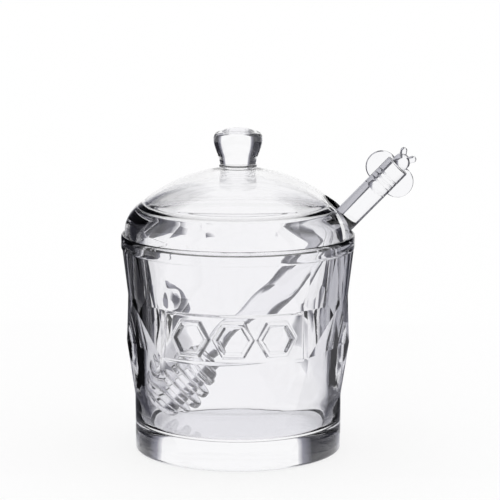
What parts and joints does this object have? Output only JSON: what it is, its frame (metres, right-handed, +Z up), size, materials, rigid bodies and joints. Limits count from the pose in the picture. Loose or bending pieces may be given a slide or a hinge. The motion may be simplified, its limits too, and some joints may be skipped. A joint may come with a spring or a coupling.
{
  "type": "honey pot",
  "caption": "Clear glass honey pot with a faceted jar, a lift-off domed lid with a knob and a notch, and a grooved glass dipper that ends in a bee.",
  "frame": {"origin": "middle of the jar's flat underside", "axes": "+Z up along the jar's axis, -Y out of the jar's front panel, +X towards the side where the dipper leans out"},
  "size_m": [0.1265, 0.1, 0.1387],
  "materials": {
    "jar_glass": "clear polished pressed glass",
    "lid_glass": "clear polished pressed glass",
    "dipper_glass": "clear polished moulded glass"
  },
  "bodies": {
    "jar": {"jar": "jar_glass"},
    "lid": {"lid": "lid_glass"},
    "dipper": {"dipper": "dipper_glass"}
  },
  "joints": [
    {"name": "lid_lift", "type": "slide", "parent": "jar", "child": "lid", "axis": [0, 0, 1], "range_m": [0, 0.06]},
    {"name": "dipper_pull", "type": "slide", "parent": "jar", "child": "dipper", "axis": [0.6947, 0, 0.7193], "range_m": [0, 0.05]}
  ]
}
